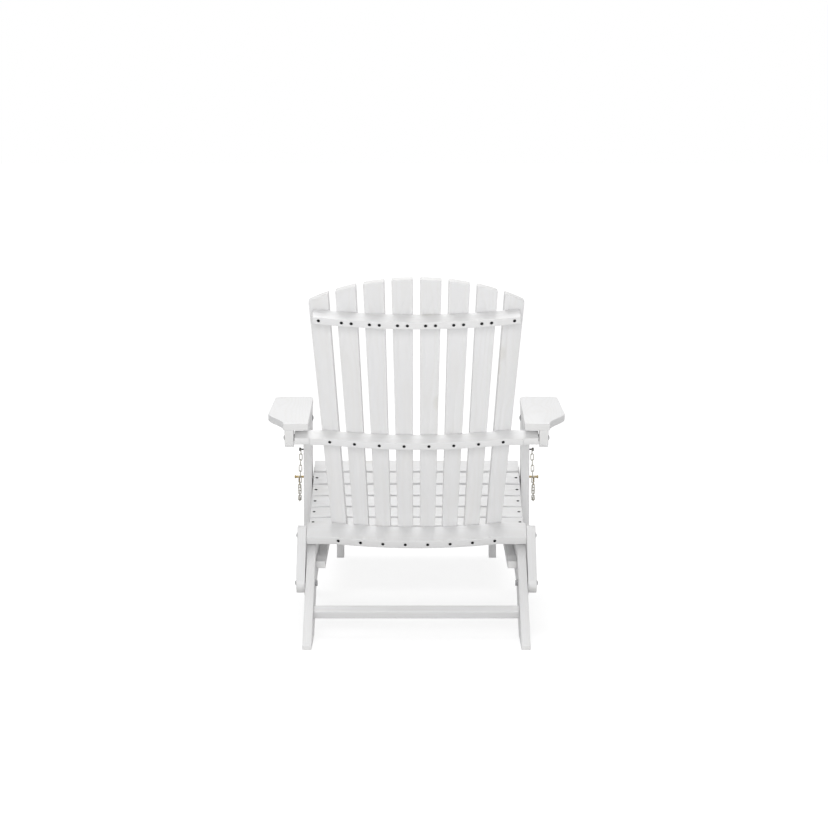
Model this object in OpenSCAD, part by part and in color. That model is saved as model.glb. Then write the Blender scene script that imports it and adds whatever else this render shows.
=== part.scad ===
// Folding fan-back lounge chair with arms and a footrest that pulls out from under the seat.
// The chair faces -Y, stands on Z = 0 and its left side is +X. All sizes are in millimetres.
// Side shapes are drawn as [fore, up]: fore is the distance in front of the rear feet.

/* [Seat frame] */
// Distance between the outer faces of the two stringers
frame_w = 548; // [500:1:600]
// Thickness of the boards of the stringers, legs and links
board_t = 22; // [18:1:26]
// Distance from the rear feet to the rear end of the seat's curve
seat_rear_fore = 360; // [355:1:368]
// Height of the rear end of the seat's curve
seat_rear_z = 237; // [232:1:244]
// Distance from the rear feet to the seat's front end
seat_front_fore = 751; // [742:1:770]
// Height of the seat's front end
seat_front_z = 353; // [340:1:366]
// Sag of the seat's curve below the straight line from end to end
seat_dip = 9; // [2:0.5:14]
// Thickness of a seat slat
seat_slat_t = 15; // [12:0.5:18]
// Gap between two slats of the seat or the footrest
slat_gap = 8; // [5:0.5:12]
// Slope of the stringer's rear leg, in degrees
rear_leg_slope = 32; // [30:0.5:33]
// Width of the stringer's rear leg
rear_leg_w = 96; // [84:1:104]
// Height of the upright end of the rear foot
rear_foot_h = 10.5; // [6:0.5:16]
// Distance from the rear feet to the bend in the stringer's lower edge
bend_fore = 322; // [310:1:335]
// Height of the stringer's lower front corner
stringer_low_z = 136; // [130:1:140]
// Distance that the front slat stands out over the stringers
seat_overhang = 14; // [8:1:20]

/* [Back] */
// Lean of the back from upright, in degrees
back_lean = 23.5; // [22:0.5:25]
// Distance from the rear feet to the slats' rear faces at the lower rail
back_fore = 327; // [324:1:331]
// Height of the lower rail's front edge
back_z = 242.8; // [238:0.2:246]
// Thickness of a back slat
back_slat_t = 15; // [12:0.5:16]
// Distance between slat centres at the lower rail
pitch_low = 56; // [52:0.5:60]
// Distance between slat centres at the upper rail
pitch_high = 67; // [62:0.5:69]
// Gap between two back slats
back_gap = 18; // [14:0.5:22]
// Length of the back above the lower rail, at its middle
back_len = 701; // [660:1:740]
// Radius of the arched top
arch_r = 485; // [430:5:600]
// Radius of the hollow of the back, seen from above
hollow_r = 1090; // [1000:10:1500]
// Thickness of the upper rail and the arm rail
rail_t = 19; // [16:1:20]
// Width of the upper rail and the arm rail
rail_w = 42; // [36:1:44]
// Thickness of the lower rail
low_rail_t = 21; // [18:1:22]
// Width of the lower rail
low_rail_w = 67; // [60:1:70]
// Distance up the back from the lower rail to the arm rail
arm_rail_up = 271.5; // [262:0.5:272]
// Distance up the back from the lower rail to the upper rail
high_rail_up = 608.5; // [590:0.5:620]
// Length of the upper rail
high_rail_len = 498; // [480:1:530]
// Length of the arm rail
arm_rail_len = 600; // [590:1:612]

/* [Arms] */
// Height of the arms' underside
arm_z = 505; // [505:1:520]
// Thickness of an arm
arm_t = 17; // [14:0.5:22]
// Distance from the rear feet to the arms' rear ends
arm_rear_fore = 195; // [180:1:205]
// Distance from the rear feet to the arms' front ends
arm_front_fore = 745; // [738:1:770]
// How far the front of an arm reaches past the outer face of its cheek
arm_lip_front = 51; // [41:1:71]
// How far the narrow rear of an arm reaches past the outer face of its cheek
arm_lip_rear = 3; // [2:1:16]
// Distance between the arms' inner edges at the front
arm_clear_front = 549; // [545:1:552]
// How far an arm lies over the end of the arm rail
arm_over_rail = 34; // [28:1:40]

/* [Front legs] */
// Distance from the rear feet to the middle of the front legs
leg_fore = 690; // [682:1:694]
// Width of a front leg
leg_w = 75; // [66:1:80]
// Height of the bolt that joins a leg to its stringer
leg_pivot_z = 178; // [172:1:186]
// Height of the bolt that joins a leg to its arm
arm_pivot_z = 472; // [466:1:474]
// Height of the lock pin
pin_z = 310; // [306:1:310]
// Distance of the lock pin in front of the leg's middle
pin_ahead = 26; // [22:1:27]

/* [Links] */
// Distance from the rear feet to the lower bolts of the links
link_fore = 230; // [226:1:238]
// Height of the lower bolts of the links
link_z = 118.5; // [112:0.5:122]
// Width of a link
link_w = 50; // [44:1:56]

/* [Footrest] */
// Distance from the rear feet to the front of the pulled-out footrest
footrest_fore = 1235; // [1210:1:1280]
// Distance from the rear feet to the rear ends of its rails
footrest_rear_fore = 670; // [665:1:700]
// Height of the rails' top
footrest_z = 205; // [200:1:206]
// Height of the rails' underside
footrest_low_z = 160; // [158:1:168]
// Thickness of a footrest slat
footrest_slat_t = 15; // [12:0.5:16]
// Thickness of the footrest's rails and legs
footrest_t = 21; // [18:1:22]
// Width of a footrest leg
footrest_leg_w = 38; // [32:1:46]

/* [Fittings] */
// Diameter of the pivot bolts
bolt_d = 8; // [6:0.5:10]
// Diameter of the lock pins
pin_d = 6; // [5:0.5:8]
// Length of the lock pins
pin_len = 50; // [46:1:60]
// Thickness of the chain's wire
wire_d = 2.2; // [1.8:0.1:2.4]
// Inside width of a chain link
link_in_w = 5; // [5:0.1:5.6]
// Distance between two chain links' middles
chain_pitch = 15; // [14.4:0.1:15.4]
// Diameter of a screw's head
screw_head_d = 7.5; // [6:0.5:9]
// Diameter of a screw's shank
screw_d = 3.5; // [3:0.5:4.5]

/* [Clearances] */
// Gap between each of the footrest's rails and the stringer beside it
footrest_gap = 2; // [1.5:0.1:12]
// Gap between boards that turn past each other, taken up by a washer
turn_gap = 2; // [1.5:0.1:3]
// Gap round a bolt or pin in its hole
bore_gap = 0.06; // [0.02:0.01:0.1]
// Gap between pieces that slide or turn past each other
slide_gap = 0.3; // [0.2:0.05:0.6]
// Gap between the seat's rear slat and the back
seat_back_gap = 1.5; // [1:0.5:6]
// Gap between the middle of a flat back slat and the front of a curved rail
slat_seat_gap = 0.7; // [0.5:0.1:1.5]

/* [Hidden] */
$fn = 48;

seat_slats = 6;
back_slats = 8;
footrest_slats = 7;
mid_fore = footrest_fore / 2;
edge_r = 3;
cut = 1;

white = "whitesmoke";
shaded = "gainsboro";
steel = "dimgray";
black = "black";
zinc = "darkgoldenrod";

// Where the boards lie across the chair, measured from its middle
stringer_out = frame_w / 2;
stringer_in = stringer_out - board_t;
turn_in = stringer_out + turn_gap;
turn_out = turn_in + board_t;
cheek_in = max(turn_out, arm_rail_len / 2) + turn_gap;
cheek_out = cheek_in + board_t;
arm_span = 2 * (cheek_out + arm_lip_front);
arm_span_rear = 2 * (cheek_out + arm_lip_rear);
arm_clear_rear = arm_rail_len - 2 * arm_over_rail;
footrest_w = 2 * (stringer_in - footrest_gap);
seat_half = stringer_out - 2.5;

// The seat's curve in side view, from the rear end at s = 0 to the front end at s = 1
function seat_point(s) = [
    seat_rear_fore + (seat_front_fore - seat_rear_fore) * s,
    seat_rear_z + (seat_front_z - seat_rear_z) * s - 4 * seat_dip * s * (1 - s)
];
// Ends of the seat slats along the curve, from the front to the rear
seat_points = [for (k = [0:seat_slats]) seat_point(1 - k / seat_slats)];
function unit(v) = v / norm(v);
function turned(v) = [-v[1], v[0]];
// Upward normal of the slat between two of these points
function slat_normal(k) = turned(unit(seat_points[k] - seat_points[k + 1]));
// The stringer's top corner below point k, where the undersides of two slats meet
function under_point(k) =
    k == 0 ? seat_points[0] - seat_slat_t * slat_normal(0) :
    k == seat_slats ? seat_points[k] - seat_slat_t * slat_normal(k - 1) :
    let (a = slat_normal(k - 1), b = slat_normal(k))
    seat_points[k] - seat_slat_t * (a + b) / (1 + a * b);

// Height at a given fore on the line through two points
function line_z(p, q, fore) = p[1] + (q[1] - p[1]) * (fore - p[0]) / (q[0] - p[0]);

// Bolt that joins the link to the lower rail, and bolt that joins the arm to the arm rail
// A rail's curve is drawn in five straight steps per slat, and ends just past the last slat
curve_steps = 18;
function flat_from(pitch) = curve_steps * pitch / 5;
pitch_arm = slat_pitch(arm_rail_up);
flat_low = flat_from(pitch_low);
flat_arm = flat_from(pitch_arm);
function rail_rise(x) = hollow_r - sqrt(hollow_r * hollow_r - x * x);
function slat_pitch(up) = pitch_low + (pitch_high - pitch_low) * up / high_rail_up;
link_top_back = low_rail_w / 2 - rail_rise(flat_low) + 8;
link_top_up = -low_rail_t / 2;
arm_joint_back = rail_w / 2 - rail_rise(flat_arm);
arm_joint_up = arm_rail_up - rail_t / 2;
function from_back(back, up) = [
    back_fore - back * cos(back_lean) - up * sin(back_lean),
    back_z - back * sin(back_lean) + up * cos(back_lean)
];
link_low = [link_fore, link_z];
link_top = from_back(link_top_back, link_top_up);
arm_joint = from_back(arm_joint_back, arm_joint_up);
leg_joint = [leg_fore, leg_pivot_z];
arm_front_joint = [leg_fore, arm_pivot_z];
pin_point = [leg_fore + pin_ahead, pin_z];

// Puts a shape drawn as [fore, up] on edge and gives it thickness across the chair
module across(from_x, to_x) {
    translate([from_x, mid_fore, 0])
        rotate([90, 0, 90])
            linear_extrude(to_x - from_x)
                mirror([1, 0])
                    children();
}

// A round bar across the chair, at a [fore, up] point
module cross_bar(point, from_x, to_x, d) {
    translate([from_x, mid_fore - point[0], point[1]])
        rotate([0, 90, 0])
            cylinder(d = d, h = to_x - from_x);
}

// The left half of the chair is drawn, and the right half is its mirror image
module on_right() {
    mirror([1, 0, 0])
        children();
}

module both_sides() {
    children();
    on_right()
        children();
}

// Points along an arc, from one angle to another
function arc(centre, r, from, to, steps = 12) = [
    for (i = [0:steps])
        let (angle = from + (to - from) * i / steps)
        centre + r * [cos(angle), sin(angle)]
];

// A rectangle centred on the origin with rounded corners
module round_rect(w, h, r) {
    square([w - 2 * r, h], center = true);
    square([w, h - 2 * r], center = true);
    for (i = [-1, 1], j = [-1, 1])
        translate([i * (w / 2 - r), j * (h / 2 - r)])
            circle(r);
}

head_d = 2.1 * bolt_d;
head_t = 0.45 * bolt_d;
nut_d = 1.9 * bolt_d;
nut_t = 0.8 * bolt_d;

// The low domed head of a bolt on a face at x, rising outwards (side = 1) or inwards (-1)
module bolt_head(point, x, side = 1) {
    dome_r = (head_d * head_d / 4 + head_t * head_t) / (2 * head_t);
    translate([x, mid_fore - point[0], point[1]])
        rotate([0, side * 90, 0])
            rotate_extrude($fn = 32)
                intersection() {
                    translate([0, head_t - dome_r])
                        circle(dome_r, $fn = 64);
                    square([head_d / 2, head_t]);
                }
}

// A bolt with its head outside, a washer in the turning gap, and a nut that ends at nut_x
module bolt(point, head_x, nut_x) {
    cross_bar(point, nut_x - nut_t, head_x, bolt_d);
    bolt_head(point, head_x);
    translate([nut_x - nut_t, mid_fore - point[0], point[1]])
        rotate([0, 90, 0])
            cylinder(d = nut_d, h = nut_t, $fn = 6);
    washer(point, stringer_out);
}

// A washer that fills a turning gap and leaves the slide gap
module washer(point, from_x) {
    difference() {
        cross_bar(point, from_x, from_x + turn_gap - slide_gap, 2.1 * bolt_d);
        cross_bar(point, from_x - cut, from_x + turn_gap + cut, bolt_d + 2 * bore_gap);
    }
}

// A screw along -Z from a surface at Z = 0: a flat head let in flush, and its shank
screw_head_t = 2.2;
module screw(depth) {
    translate([0, 0, -screw_head_t])
        cylinder(d = screw_head_d, h = screw_head_t);
    translate([0, 0, -depth])
        cylinder(d = screw_d, h = depth);
}

// The hole for such a screw
module screw_hole(depth) {
    translate([0, 0, -screw_head_t])
        cylinder(d = screw_head_d + 2 * bore_gap, h = screw_head_t + cut);
    translate([0, 0, -depth - bore_gap])
        cylinder(d = screw_d + 2 * bore_gap, h = depth);
}

// The stringer's outline: foot, lower edge, front, seat curve, knee behind the back
rail_clear = 6;
rail_corner = from_back(low_rail_w - rail_rise(flat_low), -low_rail_t)
    + rail_clear * [sin(back_lean), -cos(back_lean)];
knee_fore = (rail_corner[1] - rail_corner[0] * tan(back_lean) - rear_foot_h)
    / (tan(rear_leg_slope) - tan(back_lean));
knee = [knee_fore, rear_foot_h + knee_fore * tan(rear_leg_slope)];
foot_front = (rear_leg_w / cos(rear_leg_slope) - rear_foot_h) / tan(rear_leg_slope);
bend = [bend_fore, (bend_fore - foot_front) * tan(rear_leg_slope)];
stringer_front = under_point(0)[0] - seat_overhang;
low_slope = atan2(stringer_low_z - bend[1], stringer_front - bend[0]);
front_corner_r = 20;
corner_mid = [
    stringer_front - front_corner_r,
    line_z(bend, [stringer_front, stringer_low_z], stringer_front - front_corner_r)
        + front_corner_r / cos(low_slope)
];
stringer_outline = concat(
    [[0, 0], [foot_front, 0], bend],
    arc(corner_mid, front_corner_r, low_slope - 90, 0),
    [[stringer_front, line_z(under_point(0), under_point(1), stringer_front)]],
    [for (k = [1:seat_slats]) under_point(k)],
    [knee, [0, rear_foot_h]]
);

// The leg bolt's nut is sunk in the stringer, clear of the sliding footrest
nut_room = 2;
leg_nut_x = stringer_in + nut_t + slide_gap;
module stringer() {
    color(white)
        difference() {
            across(stringer_in, stringer_out)
                polygon(stringer_outline);
            for (point = [link_low, leg_joint])
                cross_bar(point, stringer_in - cut, stringer_out + cut, bolt_d + 2 * bore_gap);
            cross_bar(leg_joint, stringer_in - cut, leg_nut_x, nut_d + nut_room);
            cross_bar(pin_point, stringer_in - cut, stringer_out + cut, pin_d + 2 * bore_gap);
            seat_screw_places()
                screw_hole(seat_screw_len);
            runner_screw_places()
                screw_hole(runner_screw_len);
            stretcher_screw_places()
                screw_hole(stretcher_screw_len);
        }
}

module stringer_left() {
    stringer();
}

module stringer_right() {
    on_right()
        stringer();
}

// Square bar between the rear legs, turned with their slope
stretcher_side = 24;
stretcher_corner = [128, 66.5];
module rear_stretcher() {
    color(shaded)
        difference() {
            across(-stringer_in, stringer_in)
                translate(stretcher_corner)
                    rotate(rear_leg_slope)
                        translate([stretcher_side / 2, -stretcher_side / 2])
                            round_rect(stretcher_side, stretcher_side, edge_r);
            both_sides()
                stretcher_screw_places()
                    screw_hole(stretcher_screw_len);
        }
}

// Front edge of the outermost back slats at their feet
back_foot = from_back(-rail_rise(3.5 * pitch_low + slat_half(0)) - slat_seat_gap - back_slat_t,
    -low_rail_t);

// A seat slat: rounded edges, a full round nose on the front one, the rear one cut to fit
module seat_slat(k) {
    front = seat_points[k];
    rear = seat_points[k + 1];
    spare = k == seat_slats - 1 ?
        max(0, (back_foot[0] + seat_back_gap - rear[0]) / cos(slat_slope(k)) - slat_gap / 2) : 0;
    length = norm(front - rear) - slat_gap - spare;
    middle = (front + rear) / 2 - seat_slat_t / 2 * slat_normal(k)
        + spare / 2 * unit(front - rear);
    color(white)
        difference() {
            across(-seat_half, seat_half)
                translate(middle)
                    rotate(slat_slope(k)) {
                        if (k == 0) {
                            translate([-seat_slat_t / 4, 0])
                                round_rect(length - seat_slat_t / 2, seat_slat_t, edge_r);
                            translate([length / 2 - seat_slat_t / 2, 0])
                                circle(seat_slat_t / 2);
                        } else {
                            round_rect(length, seat_slat_t, edge_r);
                        }
                    }
            if (k > 0)
                both_sides()
                    seat_screw_place(k)
                        screw_hole(seat_screw_len);
        }
}

function slat_slope(k) =
    let (v = seat_points[k] - seat_points[k + 1])
    atan2(v[1], v[0]);

// Screws through the seat slats behind the front one into the stringers' top edges
seat_screw_len = 45;
module seat_screw_place(k) {
    middle = (seat_points[k] + seat_points[k + 1]) / 2;
    translate([stringer_out - board_t / 2, mid_fore - middle[0], middle[1]])
        rotate([-slat_slope(k), 0, 0])
            children();
}

module seat_screw_places() {
    for (k = [1:seat_slats - 1])
        seat_screw_place(k)
            children();
}

// Strips on the stringers' inner faces that carry the footrest's rails
runner_front = stringer_front - 8;
runner_rear = 300;
runner_h = 18;
runner_top = footrest_low_z - slide_gap;
runner_in = footrest_w / 2 - footrest_t;
module footrest_runner() {
    color(white)
        difference() {
            across(runner_in, stringer_in)
                translate([(runner_front + runner_rear) / 2, runner_top - runner_h / 2])
                    round_rect(runner_front - runner_rear, runner_h, 2);
            runner_screw_places()
                screw_hole(runner_screw_len);
        }
}

runner_tip_cover = 7;
runner_screw_len = stringer_out - runner_in - runner_tip_cover;
module runner_screw_places() {
    for (fore = [runner_rear + 30, (runner_front + runner_rear) / 2, runner_front - 30])
        translate([runner_in, mid_fore - fore, runner_top - runner_h / 2])
            rotate([0, -90, 0])
                children();
}

stretcher_screw_len = 50;
module stretcher_screw_places() {
    along = stretcher_side * [cos(rear_leg_slope), sin(rear_leg_slope)];
    down = stretcher_side * [sin(rear_leg_slope), -cos(rear_leg_slope)];
    middle = stretcher_corner + (along + down) / 2;
    translate([stringer_out, mid_fore - middle[0], middle[1]])
        rotate([0, 90, 0])
            children();
}

module footrest_runner_left() {
    footrest_runner();
}

module footrest_runner_right() {
    on_right()
        footrest_runner();
}

module frame_screws() {
    color(black)
        both_sides() {
            seat_screw_places()
                screw(seat_screw_len);
            runner_screw_places()
                screw(runner_screw_len);
            stretcher_screw_places()
                screw(stretcher_screw_len);
        }
}

// Bolts on which the links and the front legs turn
module frame_bolts() {
    color(steel)
        both_sides() {
            bolt(link_low, turn_out, stringer_in);
            bolt(leg_joint, turn_out, leg_nut_x);
        }
}

// Short boards outside the stringers that carry the back and swing with it
link_end = 22.5;
module link() {
    span = norm(link_top - link_low);
    slope = atan2(link_top[1] - link_low[1], link_top[0] - link_low[0]);
    color(white)
        difference() {
            across(turn_in, turn_out)
                translate((link_low + link_top) / 2)
                    rotate(slope)
                        round_rect(span + 2 * link_end, link_w, 0.4 * link_w);
            for (point = [link_low, link_top])
                cross_bar(point, turn_in - cut, turn_out + cut, bolt_d + 2 * bore_gap);
        }
}

module link_left() {
    link();
}

module link_right() {
    on_right()
        link();
}

// The back's own frame: X across, +Y to the rear of the slats, +Z up along them
module on_back() {
    translate([0, mid_fore - back_fore, back_z])
        rotate([-back_lean, 0, 0])
            children();
}

// A board on edge behind the slats, hollow in front, with straight ends past the last slat
module curved_rail(up, length, width, thickness, pitch) {
    low = -rail_rise(flat_from(pitch));
    curve = [for (i = [-curve_steps:curve_steps])
        let (x = i * pitch / 5)
        [x, -rail_rise(x)]];
    translate([0, 0, up - thickness])
        linear_extrude(thickness)
            polygon(concat(
                [[-length / 2, low]],
                curve,
                [[length / 2, low], [length / 2, low + width]],
                [for (i = [len(curve) - 1:-1:0]) curve[i] + [0, width]],
                [[-length / 2, low + width]]
            ));
}

module lower_rail() {
    color(white)
        difference() {
            on_back()
                curved_rail(0, 2 * (turn_in - slide_gap), low_rail_w, low_rail_t, pitch_low);
            both_sides()
                cross_bar(link_top, rail_bolt_in - bore_gap, turn_in + cut, bolt_d + 2 * bore_gap);
            on_back()
                for (k = [0:back_slats - 1])
                    low_screw_place(k)
                        screw_hole(low_rail_w + 9);
        }
}

// Under the arms the arm rail is rounded about the arms' bolts, so that they can turn on it
rail_round_in = arm_clear_rear / 2 - 3;
rail_round_r = arm_z - arm_joint[1] - 1;
module arm_rail() {
    color(white)
        difference() {
            on_back()
                curved_rail(arm_rail_up, arm_rail_len, rail_w, rail_t, pitch_arm);
            both_sides()
                difference() {
                    cross_bar(arm_joint, rail_round_in, arm_rail_len / 2 + cut, 2 * rail_w);
                    cross_bar(arm_joint, rail_round_in - cut, arm_rail_len / 2 + 2 * cut,
                        2 * rail_round_r);
                }
            both_sides()
                cross_bar(arm_joint, arm_bolt_in - bore_gap, arm_rail_len / 2 + cut,
                    bolt_d + 2 * bore_gap);
            on_back()
                for (k = [0:back_slats - 1])
                    arm_rail_screw_place(k)
                        screw_hole(rail_w + 9);
        }
}

module upper_rail() {
    color(white)
        difference() {
            on_back()
                curved_rail(high_rail_up, high_rail_len, rail_w, rail_t, pitch_high);
            on_back()
                for (k = [0:back_slats - 1])
                    high_screw_places(k)
                        screw_hole(rail_w + 9);
        }
}

// A place on the curved rear edge of a rail, at x across, looking square to the curve
module rail_edge_place(x, up, width, thickness) {
    translate([x, width - rail_rise(x), up - thickness / 2])
        rotate([0, 0, -asin(x / hollow_r)])
            rotate([-90, 0, 0])
                children();
}

function slat_offset(k) = k - (back_slats - 1) / 2;

module low_screw_place(k) {
    rail_edge_place(slat_offset(k) * pitch_low, 0, low_rail_w, low_rail_t)
        children();
}

module arm_rail_screw_place(k) {
    rail_edge_place(slat_offset(k) * pitch_arm, arm_rail_up, rail_w, rail_t)
        children();
}

// The upper rail holds the outermost slats by one screw and the others by two
screw_pair = 23.5;
module high_screw_places(k) {
    single = k == 0 || k == back_slats - 1;
    for (step = single ? [0] : [-screw_pair / 2, screw_pair / 2])
        rail_edge_place(slat_offset(k) * pitch_high + step, high_rail_up, rail_w, rail_t)
            children();
}

// The arched top is cut from this far in front of the lower rail to this far behind it
arch_front = 100;
arch_rear = 200;

// One slat of the fan: it widens upwards, leans outwards and faces the middle of the hollow
module back_slat(k) {
    low = slat_offset(k) * pitch_low;
    high = slat_offset(k) * pitch_high;
    low_rise = rail_rise(low);
    high_rise = rail_rise(high);
    run = [high - low, low_rise - high_rise, high_rail_up];
    top = back_len + 20;
    end = -low_rail_t;
    color(white)
        difference() {
            on_back()
                intersection() {
                    translate([low, -low_rise, 0])
                        rotate([-asin(run[1] / norm(run)), atan(run[0] / run[2]), 0])
                            rotate([0, 0, -asin((low + high) / 2 / hollow_r)])
                                translate([0, -slat_seat_gap, 0])
                                    rotate([90, 0, 0])
                                        linear_extrude(back_slat_t)
                                            polygon([
                                                [-slat_half(end), end], [slat_half(end), end],
                                                [slat_half(top), top], [-slat_half(top), top]
                                            ]);
                    translate([0, arch_front, back_len - arch_r])
                        rotate([90, 0, 0])
                            cylinder(r = arch_r, h = arch_front + arch_rear, $fn = 720);
                }
            on_back() {
                low_screw_place(k)
                    screw_hole(low_rail_w + 9);
                arm_rail_screw_place(k)
                    screw_hole(rail_w + 9);
                high_screw_places(k)
                    screw_hole(rail_w + 9);
            }
        }
}

function slat_half(up) = (slat_pitch(up) - back_gap) / 2;

module back_screws() {
    color(black)
        on_back()
            for (k = [0:back_slats - 1]) {
                low_screw_place(k)
                    screw(low_rail_w + 9);
                arm_rail_screw_place(k)
                    screw(rail_w + 9);
                high_screw_places(k)
                    screw(rail_w + 9);
            }
}

// Bolts from the links into the lower rail's ends, and from the cheeks into the arm rail's
module back_bolts() {
    color(steel)
        both_sides() {
            rail_bolt(link_top, turn_out, rail_bolt_in);
            rail_bolt(arm_joint, cheek_out, arm_bolt_in);
            washer(arm_joint, arm_rail_len / 2);
        }
}

rail_bolt_in = turn_in - 38;
arm_bolt_in = arm_rail_len / 2 - 45;
module rail_bolt(point, head_x, end_x) {
    cross_bar(point, end_x, head_x, bolt_d);
    bolt_head(point, head_x);
}

// Half the distance between the arms' outer edges: an S curve from the narrow rear end
arm_curve_fore = 205;
arm_curve_steps = 24;
function arm_outer(fore) =
    let (s = min(1, max(0, (fore - arm_rear_fore) / arm_curve_fore)))
    (arm_span_rear + (arm_span - arm_span_rear) * s * s * (3 - 2 * s)) / 2;

arm_corner_r = 22;
module arm() {
    color(white)
        translate([0, mid_fore, arm_z])
            mirror([0, 1, 0])
                linear_extrude(arm_t) {
                    polygon(concat(
                        [[arm_clear_rear / 2, arm_rear_fore]],
                        [for (step = [0:arm_curve_steps])
                            let (fore = arm_rear_fore + arm_curve_fore * step / arm_curve_steps)
                            [arm_outer(fore), fore]],
                        [
                            [arm_span / 2, arm_front_fore - arm_corner_r],
                            [arm_clear_front / 2, arm_front_fore - arm_corner_r]
                        ]
                    ));
                    translate([
                        (arm_span + arm_clear_front) / 4, arm_front_fore - 2 * arm_corner_r
                    ])
                        round_rect((arm_span - arm_clear_front) / 2, 4 * arm_corner_r,
                            arm_corner_r);
                }
}

module arm_left() {
    arm();
}

module arm_right() {
    on_right()
        arm();
}

// Block under an arm, round at the bottom, that hangs beside a board and turns on a bolt
cheek_w = 52;
cheek_r = 23;
module cheek(point, from_x, to_x) {
    color(white)
        difference() {
            across(from_x, to_x)
                difference() {
                    union() {
                        translate(point)
                            circle(cheek_r);
                        polygon([
                            [point[0] - cheek_w / 2, arm_z], [point[0] - cheek_r, point[1]],
                            [point[0] + cheek_r, point[1]], [point[0] + cheek_w / 2, arm_z]
                        ]);
                    }
                    translate([point[0] - cheek_w, arm_z])
                        square(2 * cheek_w);
                }
            cross_bar(point, from_x - cut, to_x + cut, bolt_d + 2 * bore_gap);
        }
}

module rear_cheek_left() {
    cheek(arm_joint, cheek_in, cheek_out);
}

module rear_cheek_right() {
    on_right()
        cheek(arm_joint, cheek_in, cheek_out);
}

module front_cheek_left() {
    cheek(arm_front_joint, turn_out + turn_gap, turn_out + turn_gap + board_t);
}

module front_cheek_right() {
    on_right()
        front_cheek_left();
}

// Bolt in the front cheek. Its other half sits in the leg, and the two line up when the chair
// is open and when it is folded
module arm_bolt_left() {
    outer = turn_out + turn_gap + board_t;
    color(steel) {
        cross_bar(arm_front_joint, turn_out + turn_gap / 2, outer, bolt_d);
        bolt_head(arm_front_joint, outer);
        washer(arm_front_joint, turn_out + slide_gap);
    }
}

module arm_bolt_right() {
    on_right()
        arm_bolt_left();
}

// Front leg: its rear top corner is rounded about the arm's bolt so that it can turn there
leg_top_r = arm_z - arm_pivot_z - turn_gap;
leg_shoulder = [-leg_w / 2, -25];
module front_leg() {
    // Angle at which the line up from the shoulder touches the round
    touch = 360 + atan2(leg_shoulder[1], leg_shoulder[0]) - acos(leg_top_r / norm(leg_shoulder));
    foot_r = 5;
    color(white)
        difference() {
            across(turn_in, turn_out)
                translate(arm_front_joint)
                    polygon(concat([leg_shoulder], arc([0, 0], leg_top_r, touch, 90, 24), [
                        [leg_w / 2 - foot_r, leg_top_r],
                        [leg_w / 2, leg_top_r - foot_r],
                        [leg_w / 2, -arm_pivot_z + foot_r],
                        [leg_w / 2 - foot_r, -arm_pivot_z],
                        [-leg_w / 2 + foot_r, -arm_pivot_z],
                        [-leg_w / 2, -arm_pivot_z + foot_r]
                    ]));
            for (point = [leg_joint, arm_front_joint])
                cross_bar(point, turn_in - cut, turn_out + cut, bolt_d + 2 * bore_gap);
            cross_bar(pin_point, turn_in - cut, turn_out + cut, pin_d + 2 * bore_gap);
            cross_bar(chain_start, turn_in - cut, turn_out + cut, screw_d + 2 * bore_gap);
        }
}

module front_leg_left() {
    front_leg();
}

module front_leg_right() {
    on_right()
        front_leg();
}

// The inner half of the arm's bolt, and the screw that the chain hangs from
module leg_fittings_left() {
    color(steel) {
        cross_bar(arm_front_joint, turn_in, turn_out, bolt_d);
        bolt_head(arm_front_joint, turn_in, -1);
        cross_bar(chain_start, turn_in + 2, chain_head_x, screw_d);
        cross_bar(chain_start, chain_head_x, chain_head_x + chain_head_t, chain_head_d);
    }
}

module leg_fittings_right() {
    on_right()
        leg_fittings_left();
}

// The chain hangs in a loop from its screw to the ring of the lock pin
chain_x = turn_out + link_in_w / 2 + wire_d + 2.3;
chain_head_x = chain_x + wire_d / 2 + slide_gap;
chain_head_d = 10;
chain_head_t = 3.5;
ring_r = 11;
chain_turns = [-90, -90, -90, -90, -90, -90, -90, -90, -60, -30, 0, 30, 60, 90];
chain_links = len(chain_turns);
// Point where link n hangs on the one before it, counted back from the ring
function chain_run(n) =
    n == chain_links ? [0, 0] :
    chain_pitch * [cos(chain_turns[n]), sin(chain_turns[n])] + chain_run(n + 1);
link_bar = wire_d / 2 + 0.4;
ring_wire = wire_d - 0.4;
ring_grip = (ring_wire + wire_d) / 2 + slide_gap - link_bar;
chain_end = pin_point + [0, ring_grip - 2 * ring_r];
function chain_point(n) = chain_end - chain_run(n);
chain_start = chain_point(0) + [0, -screw_d / 2 - 0.2];
module chain_left() {
    color(steel)
        for (n = [0:chain_links - 1]) {
            from = chain_point(n);
            to = chain_point(n + 1);
            x = chain_x + (ring_x - chain_x) * (n + 0.5) / chain_links;
            translate([x, mid_fore - (from[0] + to[0]) / 2, (from[1] + to[1]) / 2])
                rotate([-chain_turns[n], 0, 0])
                    rotate([0, 0, 90])
                        rotate([n % 2 == 0 ? 90 : 0, 0, 0])
                            chain_link(chain_pitch + 2 * link_bar);
        }
}

// A link lying in the XY plane along X: its two ends' wire middles are length apart
module chain_link(length) {
    bend = (link_in_w + wire_d) / 2;
    straight = length / 2 - bend;
    for (end = [0, 180])
        rotate([0, 0, end]) {
            translate([straight, 0, 0])
                rotate([0, 0, -90])
                    rotate_extrude(angle = 180, $fn = 24)
                        translate([bend, 0])
                            circle(d = wire_d, $fn = 16);
            translate([-straight, bend, 0])
                rotate([0, 90, 0])
                    cylinder(d = wire_d, h = 2 * straight, $fn = 16);
        }
}

module chain_right() {
    on_right()
        chain_left();
}

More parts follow.
